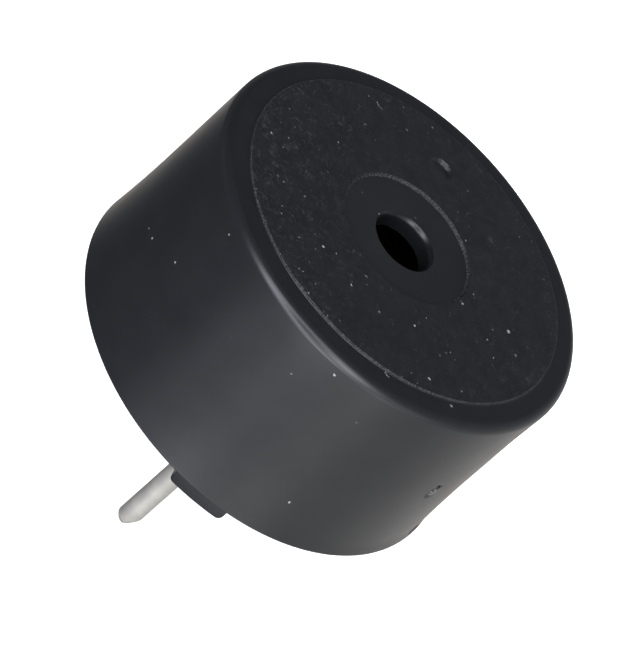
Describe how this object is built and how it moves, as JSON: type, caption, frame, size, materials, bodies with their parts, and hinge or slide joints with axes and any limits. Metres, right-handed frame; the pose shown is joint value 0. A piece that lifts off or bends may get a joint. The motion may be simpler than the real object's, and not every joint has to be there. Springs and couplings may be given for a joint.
{
  "type": "piezo buzzer",
  "caption": "Round black through-hole piezo sounder: a moulded case with a raised textured top, a recessed sound hole, low feet and straight solder pins.",
  "frame": {"origin": "on the case's axis, in the plane of the board's top face, where the feet stand; midway between the two pins", "axes": "+Z along the case's axis, towards the sound hole; the pins stand on the X axis and point to -Z; the index dimple is over the pin at -X"},
  "size_m": [0.0122, 0.0122, 0.0117],
  "materials": {
    "case_plastic": "satin black moulding, spark-textured on the raised disc",
    "base_plastic": "satin black moulding",
    "pin_metal": "tin plated, soft sheen",
    "plate_brass": "rolled sheet, satin",
    "ceramic": "fired, matt",
    "electrode_silver": "printed silver, matt",
    "silicone": "cured silicone, slightly glossy",
    "wire_copper": "enamelled copper",
    "solder": "bright solder"
  },
  "bodies": {
    "root": {"case": "case_plastic", "base": "base_plastic", "terminal_pin_1": "pin_metal", "terminal_pin_2": "pin_metal", "diaphragm_plate": "plate_brass", "piezo_ceramic": "ceramic", "electrode_layer": "electrode_silver", "adhesive_ring": "silicone", "lead_wire_1": "wire_copper", "lead_wire_2": "wire_copper", "pin_solder_1": "solder", "pin_solder_2": "solder", "plate_solder": "solder", "electrode_solder": "solder"}
  },
  "joints": []
}
